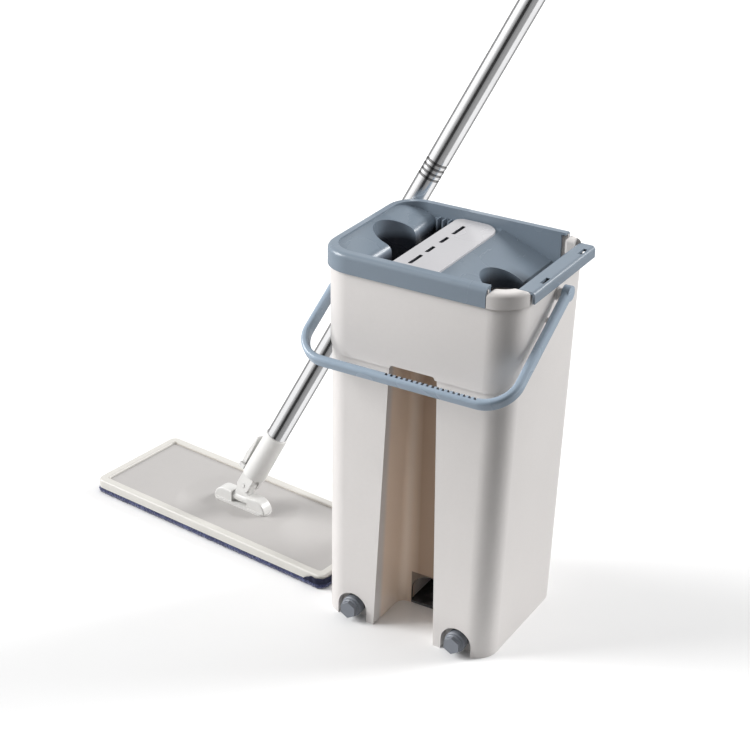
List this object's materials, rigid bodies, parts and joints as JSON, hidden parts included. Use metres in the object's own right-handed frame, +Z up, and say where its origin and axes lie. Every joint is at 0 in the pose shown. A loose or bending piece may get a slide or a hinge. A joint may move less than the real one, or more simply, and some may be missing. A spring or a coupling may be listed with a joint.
{
  "type": "flat mop and bucket set",
  "caption": "Flat mop leaning on a tall bucket with two chambers, a squeeze-slot lid, a swinging carry handle and screw drain plugs.",
  "frame": {"origin": "middle of the whole set's box on the floor", "axes": "+Z up along the pole's rise, +X to the bucket's right, +Y to its back"},
  "size_m": [0.686, 0.3497, 1.1235],
  "materials": {
    "bucket_beige": "fine satin moulding",
    "lid_blue": "satin moulding",
    "bail_blue": "satin moulding",
    "scraper_white": "smooth moulding",
    "wiper_red": "matte",
    "plug_grey": "fine grain",
    "seal_rubber": "matte",
    "head_cream": "fine satin moulding",
    "panel_grey": "fine grain",
    "hook_tape": "hooked tape",
    "pad_navy": "looped microfibre",
    "socket_white": "satin moulding",
    "pin_steel": "turned",
    "pole_steel": "polished stainless tube",
    "insert_grey": "moulded",
    "grip_grey": "fine grain"
  },
  "bodies": {
    "bucket": {"bucket_body": "bucket_beige", "foot_mat": "seal_rubber", "lid_tray": "lid_blue", "scraper_plate": "scraper_white", "scraper_screws": "pin_steel", "wiper_blade": "wiper_red", "rinse_bar": "lid_blue", "bail_peg_left": "bucket_beige", "bail_peg_right": "bucket_beige", "drain_gland_left": "insert_grey", "drain_gland_right": "insert_grey"},
    "bail": {"bail_handle": "bail_blue"},
    "washer_left": {"drain_seal_left": "seal_rubber"},
    "plug_left": {"drain_plug_left": "plug_grey"},
    "washer_right": {"drain_seal_right": "seal_rubber"},
    "plug_right": {"drain_plug_right": "plug_grey"},
    "mop_head": {"head_rim": "head_cream", "head_panel": "panel_grey", "hook_strips": "hook_tape", "mop_pad": "pad_navy", "pivot_bracket": "socket_white", "bracket_screws": "pin_steel", "roll_pin": "socket_white"},
    "yoke": {"yoke": "socket_white"},
    "mop_pole": {"socket": "socket_white", "tilt_pin": "socket_white", "socket_screw": "pin_steel", "lever_pin": "pin_steel", "pole_section_1": "pole_steel", "pole_section_2": "pole_steel", "pole_section_3": "pole_steel", "pole_section_4": "pole_steel", "pole_coupler_1": "insert_grey", "pole_coupler_2": "insert_grey", "pole_coupler_3": "insert_grey", "grip": "grip_grey", "end_cap": "grip_grey"},
    "lock_lever": {"lock_lever": "socket_white"}
  },
  "joints": [
    {"name": "bail_swing", "type": "hinge", "parent": "bucket", "child": "bail", "pos_m": [0.0769, -0.0579, 0.35], "axis": [-1, 0, 0], "range_deg": [0, 128]},
    {"name": "washer_left_slide", "type": "slide", "parent": "bucket", "child": "washer_left", "axis": [0, -1, 0], "range_m": [0, 0.00451]},
    {"name": "plug_left_turn", "type": "hinge", "parent": "washer_left", "child": "plug_left", "pos_m": [0.0199, -0.1369, 0.013], "axis": [0, -1, 0], "range_deg": [0, 540]},
    {"name": "washer_right_slide", "type": "slide", "parent": "bucket", "child": "washer_right", "axis": [0, -1, 0], "range_m": [0, 0.00451]},
    {"name": "plug_right_turn", "type": "hinge", "parent": "washer_right", "child": "plug_right", "pos_m": [0.1339, -0.1369, 0.013], "axis": [0, -1, 0], "range_deg": [0, 540]},
    {"name": "mop_slide", "type": "slide", "parent": "bucket", "child": "mop_head", "axis": [-0.9925, 0.1219, 0], "range_m": [0, 0.35]},
    {"name": "yoke_roll", "type": "hinge", "parent": "mop_head", "child": "yoke", "pos_m": [-0.1741, -0.0434, 0.022], "axis": [-0.9925, 0.1219, 0], "range_deg": [0, 50]},
    {"name": "pole_tilt", "type": "hinge", "parent": "yoke", "child": "mop_pole", "pos_m": [-0.17361, -0.03938, 0.03851], "axis": [-0.1184, -0.9639, 0.2385], "range_deg": [0, 80]},
    {"name": "lever_press", "type": "hinge", "parent": "mop_pole", "child": "lock_lever", "pos_m": [-0.18103, -0.03344, 0.05881], "axis": [0.1184, 0.9639, -0.2385], "range_deg": [0, 2.5], "stiffness_Nm_per_rad": 0.1, "springref_deg": -2.86}
  ],
  "couplings": [
    {"joint": "washer_left_slide", "follows": "plug_left_turn", "m_per_rad": 0.00047746},
    {"joint": "washer_right_slide", "follows": "plug_right_turn", "m_per_rad": 0.00047746}
  ]
}
